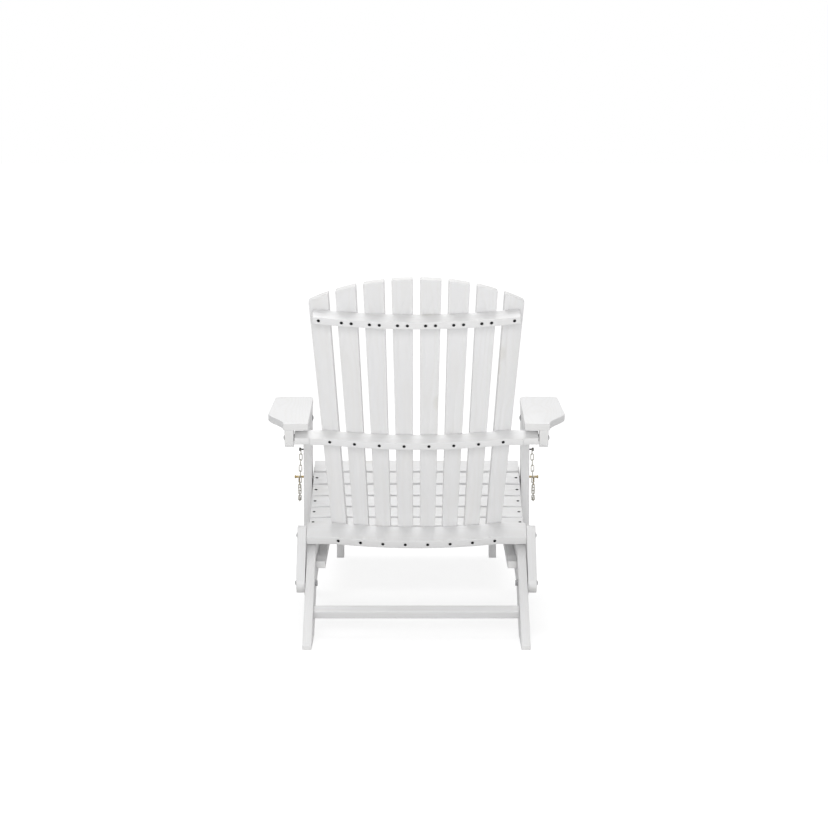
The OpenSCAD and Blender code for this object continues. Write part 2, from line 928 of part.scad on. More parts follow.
// Plain pin with a split ring. Here it is drawn back, its tip just clear of the stringer so
// that the leg can fold, and pushed home it passes into the stringer and locks the leg
pin_tip = turn_in - turn_gap / 2;
pin_end = pin_tip + pin_len;
pin_head_t = 4;
ring_x = pin_end - 13;
ring_hole = wire_d + 0.8;
module lock_pin_left() {
    color(zinc) {
        difference() {
            union() {
                cross_bar(pin_point, pin_tip, pin_end, pin_d);
                cross_bar(pin_point, pin_end - pin_head_t, pin_end, 1.4 * pin_d);
            }
            translate([ring_x, mid_fore - pin_point[0], pin_point[1]])
                rotate([90, 0, 0])
                    cylinder(d = ring_hole, h = 4 * pin_d, center = true);
        }
        translate([ring_x, mid_fore - pin_point[0], pin_point[1] - ring_r])
            rotate([0, 90, 0])
                rotate_extrude()
                    translate([ring_r, 0])
                        circle(d = ring_wire, $fn = 16);
    }
}

module lock_pin_right() {
    on_right()
        lock_pin_left();
}

// Footrest rail: it tapers at the rear so that it clears the back when it is pushed in
rail_taper = 150;
rail_taper_h = 17;
module footrest_rail_left() {
    front = footrest_fore;
    rear = footrest_rear_fore;
    nose = 6;
    color(white)
        difference() {
            across(footrest_w / 2 - footrest_t, footrest_w / 2)
                polygon([
                    [rear, footrest_low_z], [front - nose, footrest_low_z],
                    [front, footrest_low_z + nose], [front, footrest_z],
                    [rear + rail_taper, footrest_z], [rear, footrest_z - rail_taper_h]
                ]);
            footrest_screw_places()
                screw_hole(footrest_screw_len);
        }
}

module footrest_rail_right() {
    on_right()
        footrest_rail_left();
}

module footrest_leg_left() {
    outer = footrest_w / 2 - footrest_t;
    foot_r = 4;
    color(shaded)
        across(outer - footrest_t, outer)
            translate([footrest_fore - footrest_leg_w / 2 - 2, footrest_z / 2])
                round_rect(footrest_leg_w, footrest_z, foot_r);
}

module footrest_leg_right() {
    on_right()
        footrest_leg_left();
}

// The footrest's slats fill its rails from the front to just past the seat's front edge
footrest_slat_run = 468;
footrest_slat_pitch = (footrest_slat_run + slat_gap) / footrest_slats;
function footrest_slat_fore(k) =
    footrest_fore - (footrest_slat_pitch - slat_gap) / 2 - k * footrest_slat_pitch;
module footrest_slat(k) {
    color(white)
        difference() {
            across(-footrest_w / 2, footrest_w / 2)
                translate([footrest_slat_fore(k), footrest_z + footrest_slat_t / 2])
                    round_rect(footrest_slat_pitch - slat_gap, footrest_slat_t, edge_r);
            both_sides()
                footrest_screw_place(k)
                    screw_hole(footrest_screw_len);
        }
}

footrest_screw_len = 36;
module footrest_screw_place(k) {
    translate([
        (footrest_w - footrest_t) / 2, mid_fore - footrest_slat_fore(k),
        footrest_z + footrest_slat_t
    ])
        children();
}

module footrest_screw_places() {
    for (k = [0:footrest_slats - 1])
        footrest_screw_place(k)
            children();
}

module footrest_screws() {
    color(black)
        both_sides()
            footrest_screw_places()
                screw(footrest_screw_len);
}

stringer_left();
stringer_right();
rear_stretcher();
seat_slat(0);  // seat_slat_1
seat_slat(1);  // seat_slat_2
seat_slat(2);  // seat_slat_3
seat_slat(3);  // seat_slat_4
seat_slat(4);  // seat_slat_5
seat_slat(5);  // seat_slat_6
footrest_runner_left();
footrest_runner_right();
frame_screws();
frame_bolts();
link_left();
link_right();
lower_rail();
arm_rail();
upper_rail();
back_slat(0);  // back_slat_1
back_slat(1);  // back_slat_2
back_slat(2);  // back_slat_3
back_slat(3);  // back_slat_4
on_right() back_slat(3);  // back_slat_5
on_right() back_slat(2);  // back_slat_6
on_right() back_slat(1);  // back_slat_7
on_right() back_slat(0);  // back_slat_8
back_screws();
back_bolts();
arm_left();
arm_right();
rear_cheek_left();
rear_cheek_right();
front_cheek_left();
front_cheek_right();
arm_bolt_left();
arm_bolt_right();
front_leg_left();
front_leg_right();
leg_fittings_left();
leg_fittings_right();
chain_left();
chain_right();
lock_pin_left();
lock_pin_right();
footrest_rail_left();
footrest_rail_right();
footrest_leg_left();
footrest_leg_right();
footrest_slat(0);  // footrest_slat_1
footrest_slat(1);  // footrest_slat_2
footrest_slat(2);  // footrest_slat_3
footrest_slat(3);  // footrest_slat_4
footrest_slat(4);  // footrest_slat_5
footrest_slat(5);  // footrest_slat_6
footrest_slat(6);  // footrest_slat_7
footrest_screws();
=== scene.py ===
"""Folding fan-back lounge chair: painted boards, screws, bolts, chains, lock pins and stage.

Lengths are in metres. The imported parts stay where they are; this file gives them their
finish, and makes the small fasteners and chains that stand for some of them.
"""
import math

import bpy
import numpy as np
from bpy.props import (
    FloatProperty,
    FloatVectorProperty,
    IntProperty,
    PointerProperty,
)
from bpy.types import Operator, Panel, PropertyGroup
from mathutils import Matrix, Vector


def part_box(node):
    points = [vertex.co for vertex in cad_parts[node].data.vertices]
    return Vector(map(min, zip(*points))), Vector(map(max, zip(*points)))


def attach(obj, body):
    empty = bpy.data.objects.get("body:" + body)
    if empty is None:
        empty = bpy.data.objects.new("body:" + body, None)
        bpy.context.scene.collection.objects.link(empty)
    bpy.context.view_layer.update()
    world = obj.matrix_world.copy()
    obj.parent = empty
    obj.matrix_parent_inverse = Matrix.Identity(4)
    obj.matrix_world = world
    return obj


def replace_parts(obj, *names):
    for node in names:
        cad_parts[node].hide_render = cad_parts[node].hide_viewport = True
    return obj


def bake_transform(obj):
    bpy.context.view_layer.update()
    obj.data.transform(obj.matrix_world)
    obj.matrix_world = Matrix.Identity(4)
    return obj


bl_info = {
    "name": "Folding lounge chair",
    "version": (1, 0, 0),
    "blender": (4, 5, 0),
    "location": "View3D > Sidebar > Lounge chair",
    "description": "Finishes a folding fan-back lounge chair and sets it on a pale floor",
    "category": "Object",
}

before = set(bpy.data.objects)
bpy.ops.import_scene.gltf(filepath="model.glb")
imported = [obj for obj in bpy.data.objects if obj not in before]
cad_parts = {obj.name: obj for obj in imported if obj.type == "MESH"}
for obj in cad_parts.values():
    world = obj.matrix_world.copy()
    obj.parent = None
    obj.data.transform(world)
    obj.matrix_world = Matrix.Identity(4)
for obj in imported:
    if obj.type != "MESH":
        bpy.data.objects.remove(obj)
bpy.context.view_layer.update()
SIDES = ("left", "right")

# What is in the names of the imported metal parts, and in no board's

METAL_WORDS = ("bolt", "screws", "fittings", "chain", "lock_pin")

# Radii, lengths and distances in metres. A made screw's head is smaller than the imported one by
# its play, and corners that are closer than a weld distance become one.

BOLT_RADIUS = 0.004
SCREW_RADIUS = 0.00175
SCREW_HEAD_PLAY = 0.00005
CHAIN_SCREW_RADIUS = 0.002
CHAIN_SCREW_HEAD = 0.0035
PIN_RADIUS = 0.003
PIN_HEAD = 0.004
PIN_EASE = 0.0008
RING_FROM_PIN_END = 0.013
BOARD_WELD = 1e-5
BOLT_WELD = 1e-6

# Angles in radians

SHARP_ANGLE = math.radians(32)
ROUNDED_ANGLE = math.radians(38)
FLAT_ANGLE = math.radians(0.1)

# Points round a turned piece, and along and round a chain link

TURNED_COLUMNS = 32
LINK_STEPS = 44
LINK_COLUMNS = 12

# Stage: colours and glow that the camera sees on the floor, distances from the chair's middle
# between which the floor grows paler, and the width of the camera's sensor in millimetres

WHITE = (1, 1, 1, 1)
SHOWN_FLOOR = (0.95, 0.95, 0.95, 1)
GLOW_STRENGTH = 1.25
NEAR_FLOOR = 1.0
FAR_FLOOR = 2.6
SENSOR_WIDTH = 36


class BoardPaint(PropertyGroup):
    """White paint over softwood boards."""

    paint_color: FloatVectorProperty(
        name="Paint", description="Colour of the white paint on the boards",
        subtype="COLOR", size=3, min=0, max=1, default=(0.80, 0.80, 0.805),
    )
    warm_color: FloatVectorProperty(
        name="Warm tone", description="Paint colour over knots and resin streaks",
        subtype="COLOR", size=3, min=0, max=1, default=(0.74, 0.715, 0.655),
    )
    shaded_color: FloatVectorProperty(
        name="Thin coat", description="Paint on end grain, where the wood drinks it in",
        subtype="COLOR", size=3, min=0, max=1, default=(0.70, 0.695, 0.68),
    )
    roughness: FloatProperty(
        name="Roughness", description="Roughness of the satin paint",
        subtype="FACTOR", min=0, max=1, default=0.48,
    )
    ring_spacing: FloatProperty(
        name="Ring spacing", description="Distance between growth rings",
        unit="LENGTH", min=0.001, max=0.02, default=0.0052,
    )
    relief: FloatProperty(
        name="Relief", description="Depth of grain and brush marks in the paint",
        unit="LENGTH", min=0, max=0.002, default=0.00034,
    )
    edge_radius: FloatProperty(
        name="Edge radius", description="Radius of the sanded edges of the boards",
        unit="LENGTH", min=0, max=0.004, default=0.0014,
    )


class MetalFinish(PropertyGroup):
    """Colours and sizes of the metal pieces."""

    screw_color: FloatVectorProperty(
        name="Screws", description="Colour of the blackened screws",
        subtype="COLOR", size=3, min=0, max=1, default=(0.022, 0.022, 0.024),
    )
    steel_color: FloatVectorProperty(
        name="Bolts", description="Colour of the dull steel bolts, washers and nuts",
        subtype="COLOR", size=3, min=0, max=1, default=(0.27, 0.27, 0.275),
    )
    chain_color: FloatVectorProperty(
        name="Chain", description="Colour of the chain wire",
        subtype="COLOR", size=3, min=0, max=1, default=(0.46, 0.44, 0.39),
    )
    pin_color: FloatVectorProperty(
        name="Pins", description="Colour of the yellow passivated lock pins",
        subtype="COLOR", size=3, min=0, max=1, default=(0.38, 0.30, 0.16),
    )
    recess_depth: FloatProperty(
        name="Recess depth", description="Depth of the cross in a screw's head",
        unit="LENGTH", min=0, max=0.002, default=0.0013,
    )
    weld_bulge: FloatProperty(
        name="Weld", description="Swelling of a chain link's wire at its weld",
        subtype="FACTOR", min=0, max=0.3, default=0.14,
    )
    split_ring_wire: FloatProperty(
        name="Ring wire", description="Diameter of the flattened wire of a split ring",
        unit="LENGTH", min=0.0005, max=0.003, default=0.0013,
    )


class StudioSettings(PropertyGroup):
    """Floor, lamps and camera."""

    floor_color: FloatVectorProperty(
        name="Floor", description="Colour of the floor as it lights the chair",
        subtype="COLOR", size=3, min=0, max=1, default=(0.80, 0.80, 0.80),
    )
    floor_glow: FloatProperty(
        name="Floor glow", description="How much of the floor's look is plain white",
        subtype="FACTOR", min=0, max=1, default=0.62,
    )
    far_glow: FloatProperty(
        name="Far glow", description="How much more of it is plain white far from the chair",
        subtype="FACTOR", min=0, max=1, default=0.18,
    )
    sky_strength: FloatProperty(
        name="Sky", description="Strength of the even light from all around",
        min=0, max=2, default=0.38,
    )
    key_power: FloatProperty(
        name="Key lamp", description="Power of the large lamp behind the camera",
        unit="POWER", min=0, max=2000, default=235,
    )
    fill_power: FloatProperty(
        name="Fill lamp", description="Power of the lamp above the chair",
        unit="POWER", min=0, max=2000, default=98,
    )
    camera_distance: FloatProperty(
        name="Camera distance", description="How far behind the chair the camera is",
        unit="LENGTH", min=2, max=20, default=6.4786,
    )
    camera_height: FloatProperty(
        name="Camera height", description="Height of the camera above the floor",
        unit="LENGTH", min=0.2, max=4, default=1.3272,
    )
    camera_pitch: FloatProperty(
        name="Camera pitch", description="How far the camera looks down",
        subtype="ANGLE", min=0, max=1, default=math.radians(7.351),
    )
    camera_lens: FloatProperty(
        name="Lens", description="Focal length in millimetres on a 36 mm sensor",
        min=20, max=300, default=108.42,
    )
    camera_shift: FloatProperty(
        name="Shift", description="Sideways shift of the view, as a share of its width",
        min=-0.05, max=0.05, default=-0.003,
    )
    backdrop_size: IntProperty(
        name="Floor size", description="Width of the floor in metres",
        min=10, max=200, default=80,
    )


# Node graphs


class Wire:
    """An output in a node graph. Sums with numbers and other wires add Math nodes."""

    def __init__(self, graph, socket):
        self.graph = graph
        self.socket = socket

    def _math(self, operation, *values):
        sockets = dict(enumerate(values))
        return self.graph.node("ShaderNodeMath", {"operation": operation}, sockets)

    def __add__(self, other):
        return self._math("ADD", self, other)

    def __rsub__(self, other):
        return self._math("SUBTRACT", other, self)

    def __mul__(self, other):
        return self._math("MULTIPLY", self, other)

    def __pow__(self, other):
        return self._math("POWER", self, other)

    def __gt__(self, other):
        return self._math("GREATER_THAN", self, other)

    __radd__ = __add__
    __rmul__ = __mul__

    def sine(self):
        """The sine of a number in radians."""
        return self._math("SINE", self)

    def size(self):
        """The number without its sign."""
        return self._math("ABSOLUTE", self)

    def ramp(self, low, high):
        """0 below low, 1 above high and a smooth step between them; low may be the larger."""
        if low > high:
            return 1 - self.ramp(high, low)
        return self.graph.node(
            "ShaderNodeMapRange", {"interpolation_type": "SMOOTHSTEP"},
            {"Value": self, "From Min": low, "From Max": high},
        )

    def beside(self, output):
        """Another output of the same node."""
        return Wire(self.graph, self.socket.node.outputs[output])


class Graph:
    """A node tree that grows one node at a time."""

    def __init__(self, tree):
        self.tree = tree
        tree.nodes.clear()

    def node(self, kind, settings=None, inputs=None, output=0):
        """Adds a node of that kind, sets it up, and fills or links its sockets.

        Gives the wire of the output asked for, or none where the node ends the graph."""
        made = self.tree.nodes.new(kind)
        for name, value in (settings or {}).items():
            setattr(made, name, value)
        for name, value in (inputs or {}).items():
            if isinstance(value, Wire):
                self.tree.links.new(value.socket, made.inputs[name])
            else:
                made.inputs[name].default_value = value
        return Wire(self, made.outputs[output]) if made.outputs else None

    def axes(self, vector):
        """The three parts of a vector, each as a wire."""
        parts = self.node("ShaderNodeSeparateXYZ", None, {"Vector": vector})
        return [parts.beside(axis) for axis in "XYZ"]

    def scaled(self, vector, factors):
        """A vector with each of its parts times its own factor."""
        return self.node(
            "ShaderNodeVectorMath", {"operation": "MULTIPLY"}, {0: vector, 1: factors}
        )

    def noise(self, vector, scale=1.0, detail=2.0, roughness=0.5):
        """Soft noise from 0 to 1."""
        values = {"Vector": vector, "Scale": scale, "Detail": detail, "Roughness": roughness}
        return self.node("ShaderNodeTexNoise", None, values)

    def mix(self, factor, first, second):
        """A colour between two colours, which are wires or three numbers each.

        A Mix node holds sockets for numbers, vectors and colours side by side: 0 is its
        factor, 6 and 7 are its two colours, and output 2 is the mixed colour."""
        first, second = (
            color if isinstance(color, Wire) else (*color, 1) for color in (first, second)
        )
        values = {0: factor, 6: first, 7: second}
        return self.node("ShaderNodeMix", {"data_type": "RGBA"}, values, 2)


def surface(name):
    """A new material and the graph of its nodes."""
    material = bpy.data.materials.new(name)
    material.use_nodes = True
    return material, Graph(material.node_tree)


def principled(graph, values):
    """Ends the graph in a Principled shader with these sockets."""
    shader = graph.node("ShaderNodeBsdfPrincipled", None, values)
    graph.node("ShaderNodeOutputMaterial", None, {"Surface": shader})


def bumped(graph, height, distance):
    """A normal tilted by a height from 0 to 1 that stands for that distance."""
    values = {"Height": height, "Distance": distance, "Strength": 1.0}
    return graph.node("ShaderNodeBump", None, values)


def smooth_by_angle():
    """A geometry node group that shades a mesh smooth, apart from its sharp edges."""
    name = "Smooth by angle"
    if name in bpy.data.node_groups:
        return bpy.data.node_groups[name]
    tree = bpy.data.node_groups.new(name, "GeometryNodeTree")
    for way in ("INPUT", "OUTPUT"):
        tree.interface.new_socket(name="Mesh", in_out=way, socket_type="NodeSocketGeometry")
    graph = Graph(tree)
    mesh = graph.node("NodeGroupInput")
    smooth = graph.node(
        "GeometryNodeSetShadeSmooth", {"domain": "FACE"}, {"Geometry": mesh}
    )
    sharp = graph.node("GeometryNodeInputMeshEdgeAngle") > SHARP_ANGLE
    split = graph.node(
        "GeometryNodeSetShadeSmooth", {"domain": "EDGE"},
        {"Geometry": smooth, "Selection": sharp, "Shade Smooth": False},
    )
    graph.node("NodeGroupOutput", None, {"Mesh": split})
    return tree


def shade_by_angle(piece):
    """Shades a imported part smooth, apart from its sharp edges."""
    modifier = piece.modifiers.new("Smooth", "NODES")
    modifier.node_group = smooth_by_angle()


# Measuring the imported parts


def triangles(node):
    """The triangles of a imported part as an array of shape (count, 3 corners, 3)."""
    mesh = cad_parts[node].data
    mesh.calc_loop_triangles()
    points = np.empty(len(mesh.vertices) * 3)
    corners = np.empty(len(mesh.loop_triangles) * 3, np.int32)
    mesh.vertices.foreach_get("co", points)
    mesh.loop_triangles.foreach_get("vertices", corners)
    return points.reshape(-1, 3)[corners].reshape(-1, 3, 3)


def solids(node):
    """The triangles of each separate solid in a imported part.

    Corners that lie together get one number; each triangle then passes its lowest number
    to all its corners until nothing changes, and a solid is what shares a number."""
    all_triangles = triangles(node)
    keys = np.round(all_triangles.reshape(-1, 3) * 1e5).astype(np.int64)
    _, corner = np.unique(keys, axis=0, return_inverse=True)
    corner = corner.reshape(-1, 3)
    label = np.arange(corner.max() + 1)
    while True:
        spread = label.copy()
        lowest = np.repeat(label[corner].min(axis=1), 3)
        np.minimum.at(spread, corner.ravel(), lowest)
        spread = spread[spread]
        if np.array_equal(spread, label):
            break
        label = spread
    owner = label[corner[:, 0]]
    return [all_triangles[owner == number] for number in np.unique(owner)]


def spread_of(shape):
    """Middle, axes and half sizes of a solid, with its longest axis first.

    The axes are those of the second moment of its surface: for a triangle with corners
    a, b, c and middle g it is the area times (aa + bb + cc + 9gg) / 12."""
    a, b, c = shape[:, 0], shape[:, 1], shape[:, 2]
    area = np.linalg.norm(np.cross(b - a, c - a), axis=1) / 2
    middle = shape.mean(axis=1)
    centre = (area[:, None] * middle).sum(axis=0) / area.sum()
    moment = 9 * np.einsum("n,ni,nj", area, middle - centre, middle - centre)
    for corner in (a, b, c):
        moment = moment + np.einsum("n,ni,nj", area, corner - centre, corner - centre)
    axes = np.linalg.eigh(moment)[1].T[::-1]
    axes *= np.sign(axes[np.arange(3), np.abs(axes).argmax(axis=1)])[:, None]
    axes[2] = np.cross(axes[0], axes[1])
    along = (shape.reshape(-1, 3) - centre) @ axes.T
    low, high = along.min(axis=0), along.max(axis=0)
    return centre + (low + high) / 2 @ axes, axes, (high - low) / 2


# Making meshes


def grid_faces(rows, columns, closed_rows=False):
    """Quads of a grid that is closed round its columns, and over its rows if asked."""
    last = rows if closed_rows else rows - 1
    row, column = np.meshgrid(np.arange(last), np.arange(columns), indexing="ij")
    ahead, beside = (row + 1) % rows, (column + 1) % columns
    corners = [(row, column), (row, beside), (ahead, beside), (ahead, column)]
    return np.stack([r * columns + c for r, c in corners], axis=-1).reshape(-1, 4)


def repeated(copies, blocks):
    """Many copies of a mesh as one: a list of point arrays that share their face arrays.

    The faces of copy k count from k times the number of points in a copy."""
    points = np.stack(copies)
    offset = np.arange(points.shape[0])[:, None, None] * points.shape[1]
    many = [(faces[None] + offset).reshape(-1, faces.shape[1]) for faces in blocks]
    return points.reshape(-1, 3), many


def make_piece(name, points, blocks, material, body=None):
    """A mesh object from an array of points and a list of face arrays, smooth but for its
    sharp edges. It rides on a body if one is named."""
    mesh = bpy.data.meshes.new(name)
    mesh.from_pydata(points.tolist(), [], [face for block in blocks for face in block.tolist()])
    mesh.validate()
    mesh.shade_smooth()
    mesh.set_sharp_from_angle(angle=SHARP_ANGLE)
    mesh.materials.append(material)
    piece = bpy.data.objects.new(name, mesh)
    bpy.context.scene.collection.objects.link(piece)
    if body:
        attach(piece, body)
    return piece


def turned_faces(rings, columns):
    """Quads between rings of points, and a fan of triangles to a last point at each end."""
    quads = grid_faces(rings, columns)
    around = np.arange(columns)
    beside = (around + 1) % columns
    base = (rings - 1) * columns
    first = np.full(columns, rings * columns)
    caps = [
        np.stack([first, beside, around], axis=1),
        np.stack([first + 1, base + around, base + beside], axis=1),
    ]
    return [quads, np.concatenate(caps)]


def turned_points(radius, height):
    """A turned shape about Z: ring i has the radius and height of profile point i.

    Point (i, j) is (r cos t, r sin t, h) with t = 2 pi j / columns. The last two points
    are the middles of the first and the last ring."""
    turn = 2 * np.pi * np.arange(TURNED_COLUMNS) / TURNED_COLUMNS
    ring = np.stack([np.cos(turn), np.sin(turn), np.zeros(TURNED_COLUMNS)], axis=-1)
    points = ring[None] * radius[:, None, None] + [0, 0, 1] * height[:, None, None]
    ends = np.array([[0, 0, height[0]], [0, 0, height[-1]]])
    return np.concatenate([points.reshape(-1, 3), ends])


def turned_piece(name, profile, place, sign, material, slot, body):
    """A profile of radii and heights turned about X, out from the middle of the chair."""
    shape = turned_points(*profile)
    turn = np.array([[0, 1, 0], [0, 0, sign], [sign, 0, 0]], float)
    blocks = turned_faces(len(profile[0]), TURNED_COLUMNS)
    return make_piece(name, shape @ turn + place, blocks, material, body)


def wire_points(path, out, side, thick, columns):
    """Rings of points about a path. Ring i lies in the plane of out[i] and side.

    Point (i, j) is path + thick (out cos t + side sin t) with t = 2 pi j / columns."""
    turn = (2 * np.pi * np.arange(columns) / columns)[:, None]
    ring = out[:, None] * np.cos(turn) + side * np.sin(turn)
    return (path[:, None] + ring * thick[:, None, None]).reshape(-1, 3)


# Finishes


def board_finish(node, number):
    """Painted softwood. Growth rings are cylinders about a pith beside the board, so sides
    and ends show the same tree. Brush marks run with the grain, and knots are rare."""
    paint = bpy.context.scene.board_paint
    draw = np.random.default_rng(100 + number)
    centre, axes, _ = spread_of(triangles(node))
    turn = Matrix(axes.tolist()).to_euler("XYZ")
    start = -(axes @ centre) + draw.uniform(-4, 4, 3) * (1, 0, 0)
    material, graph = surface("paint_" + node)
    place = graph.node("ShaderNodeTexCoord", None, None, "Object")
    place = graph.node(
        "ShaderNodeMapping", {"vector_type": "POINT"},
        {"Vector": place, "Location": start.tolist(), "Rotation": turn},
    )
    _, across, deep = graph.axes(place)

    def stretched(lengthwise, crosswise):
        """The place, so that a pattern repeats that often a metre along and across a board."""
        return graph.scaled(place, (lengthwise, crosswise, crosswise))

    wander = graph.noise(stretched(2.6, 9), detail=3.0)
    ripple = graph.noise(stretched(14, 40), detail=2.0)
    pith = (draw.uniform(-0.03, 0.03), draw.uniform(0.03, 0.07))
    radius = ((across + pith[0]) ** 2 + (deep + pith[1]) ** 2) ** 0.5
    radius = radius + wander * 0.030 + ripple * 0.0022
    ring = (radius * (2 * math.pi / paint.ring_spacing)).sine() * 0.5 + 0.5
    ring = ring ** 2.5

    knots = graph.node(
        "ShaderNodeTexVoronoi", {"feature": "F1"},
        {"Vector": stretched(4.4, 9.5), "Scale": 1.0, "Randomness": 1.0},
    )
    knot = knots.ramp(0.13, 0.05)
    fibre = graph.noise(stretched(22, 900), detail=3.0, roughness=0.6)
    brush = graph.noise(stretched(5, 330), detail=2.0)
    drift = graph.noise(stretched(3.5, 11), detail=1.0)

    facing = graph.node("ShaderNodeTexCoord", None, None, "Normal")
    along_grain = graph.node(
        "ShaderNodeVectorMath", {"operation": "DOT_PRODUCT"},
        {0: facing, 1: axes[0].tolist()}, "Value",
    )
    end = along_grain.size().ramp(0.80, 0.97)

    tone = draw.uniform(-0.012, 0.012)
    tint = np.clip(np.array(paint.paint_color) * (1 + tone), 0, 1)
    warm = np.array(paint.warm_color)
    color = graph.mix(drift.ramp(0.35, 0.75) * 0.10, tint, warm)
    color = graph.mix(ring * 0.10 + fibre.ramp(0.58, 0.75) * 0.10, color, warm * 0.93)
    color = graph.mix(knot * 0.34, color, warm * 0.86)
    color = graph.mix(end * 0.42, color, paint.shaded_color)

    height = ring * -0.30 + fibre * 0.26 + brush * 0.42 + knot * -0.5 + 0.5
    values = {
        "Base Color": color,
        "Roughness": drift * 0.14 + ring * 0.05 + end * 0.12 + (paint.roughness - 0.09),
        "Normal": bumped(graph, height, paint.relief),
        "Specular IOR Level": 0.42,
    }
    principled(graph, values)
    return material


def metal_finish(name, color, roughness, metallic=1.0, spots=0.25, dark=0.45):
    """Metal with a patchy coat: darker, rougher blotches and fine scratches."""
    material, graph = surface(name)
    place = graph.node("ShaderNodeTexCoord", None, None, "Object")
    patch = graph.noise(place, scale=210.0, detail=3.0, roughness=0.6)
    grit = graph.noise(place, scale=1700.0, detail=1.0)
    blotch = patch.ramp(0.46, 0.68)
    coat = graph.mix(blotch * spots + grit * 0.12, color, np.array(color) * dark)
    values = {
        "Base Color": coat,
        "Metallic": metallic,
        "Roughness": blotch * 0.16 + grit * 0.10 + (roughness - 0.06),
        "Normal": bumped(graph, grit * 0.5 + patch * 0.5, 0.00006),
    }
    principled(graph, values)
    return material


def pin_finish():
    """Yellow passivated zinc: its colour drifts from straw to olive and rose."""
    metal = bpy.context.scene.metal_finish
    material, graph = surface("yellow_zinc")
    place = graph.node("ShaderNodeTexCoord", None, None, "Object")
    drift = graph.noise(place, scale=120.0, detail=2.0)
    grit = graph.noise(place, scale=1500.0, detail=1.0)
    base = np.array(metal.pin_color)
    straw = graph.mix(drift.ramp(0.40, 0.56), base * (1.10, 1.02, 0.8), base)
    coat = graph.mix(drift.ramp(0.56, 0.70) * 0.7, straw, base * (0.72, 0.78, 0.95))
    values = {
        "Base Color": graph.mix(grit * 0.25, coat, base * 0.4),
        "Metallic": 1.0,
        "Roughness": drift * 0.2 + grit * 0.12 + 0.18,
        "Normal": bumped(graph, grit, 0.00004),
    }
    principled(graph, values)
    return material


def dress(node, material):
    """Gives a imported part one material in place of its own."""
    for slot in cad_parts[node].material_slots:
        slot.link = "OBJECT"
        slot.material = material


# Boards and bolts


def board_nodes():
    """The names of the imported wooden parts, in alphabetical order."""
    return sorted(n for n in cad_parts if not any(word in n for word in METAL_WORDS))


class LOUNGER_OT_boards(Operator):
    """Eases the edges of every board and paints it, with the grain along its length"""

    bl_idname = "lounger.boards"
    bl_label = "Paint the boards"

    def execute(self, context):
        radius = context.scene.board_paint.edge_radius
        for number, node in enumerate(board_nodes()):
            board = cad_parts[node]
            weld = board.modifiers.new("Weld", "WELD")
            weld.merge_threshold = BOARD_WELD
            flat = board.modifiers.new("Flat faces", "DECIMATE")
            flat.decimate_type = "DISSOLVE"
            flat.angle_limit = FLAT_ANGLE
            ease = board.modifiers.new("Eased edges", "BEVEL")
            ease.width = radius
            ease.segments = 3
            ease.limit_method = "ANGLE"
            ease.angle_limit = ROUNDED_ANGLE
            ease.use_clamp_overlap = False
            ease.loop_slide = False
            shade_by_angle(board)
            dress(node, board_finish(node, number))
        return {"FINISHED"}


class LOUNGER_OT_bolts(Operator):
    """Finishes the bolts, washers and nuts in dull steel"""

    bl_idname = "lounger.bolts"
    bl_label = "Finish the bolts"

    def execute(self, context):
        metal = context.scene.metal_finish
        steel = metal_finish("dull_steel", metal.steel_color, 0.42)
        for node in [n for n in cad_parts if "bolt" in n]:
            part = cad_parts[node]
            weld = part.modifiers.new("Weld", "WELD")
            weld.merge_threshold = BOLT_WELD
            shade_by_angle(part)
            dress(node, steel)
        return {"FINISHED"}


# Screws and the legs' bolts


def screw_shape(head_radius, length, depth):
    """A countersunk screw along -Z with a cross in its head, as rings about Z.

    The head's face is a low crown that falls with the square of the radius. The cross is
    cut where the smaller of |x| and |y| is under the slot's half width and where the radius
    is under the cross's reach. Both fade out over a short way."""
    edge, rim, cone, neck, tip = 0.0002, 0.0006, 0.0021, 0.0026, 0.004
    slot_half, slot_fade = 0.17 * head_radius, 0.08 * head_radius
    cross_reach, cross_fade = 0.66 * head_radius, 0.12 * head_radius
    face = np.array([0.12, 0.22, 0.32, 0.42, 0.52, 0.62, 0.72, 0.84, 0.94, 1.0]) * head_radius
    radius = np.concatenate([
        face,
        [head_radius, 0.55 * head_radius, SCREW_RADIUS],
        [SCREW_RADIUS, 0.25 * SCREW_RADIUS],
    ])
    height = np.concatenate([
        -0.06 * (face / head_radius) ** 2 * head_radius,
        [-rim, -cone, -neck],
        [-length + tip, -length],
    ])
    height[len(face) - 1] = -edge
    points = turned_points(radius, height)
    x, y = np.abs(points[:, 0]), np.abs(points[:, 1])
    slot = np.clip((slot_half - np.minimum(x, y)) / slot_fade, 0, 1)
    ends = np.clip((cross_reach - np.hypot(x, y)) / cross_fade, 0, 1)
    on_face = points[:, 2] > -(edge + rim) / 2
    points[:, 2] -= np.where(on_face, depth * slot * ends, 0)
    return points, turned_faces(len(radius), TURNED_COLUMNS)


def dome_head(shank, length, radius, thick):
    """Radius and height of a round-headed bolt, from the top of its dome to the bolt's end.

    The dome falls by 0.9 of the head's thickness times the share of its radius to 2.4."""
    share = np.array([0.08, 0.35, 0.6, 0.8, 0.94, 1.0])
    rim = [(radius, 0.96 * thick), (shank, thick), (shank, length)]
    dome = np.stack([share * radius, 0.9 * thick * share ** 2.4], axis=-1)
    table = np.concatenate([dome, rim])
    return table[:, 0], table[:, 1]


def pan_head(shank, length, radius, thick):
    """Radius and height of a pan-head screw, from its tip to the dish in its head."""
    base = length - thick
    profile = [
        (0.3 * shank, 0), (shank, 0.002), (shank, base), (radius, base + 0.0001),
        (radius, base + 0.45 * thick), (0.93 * radius, base + 0.78 * thick),
        (0.72 * radius, base + 0.95 * thick), (0.42 * radius, length),
        (0.36 * radius, base + 0.55 * thick), (0.1 * radius, base + 0.4 * thick),
    ]
    table = np.array(profile)
    return table[:, 0], table[:, 1]


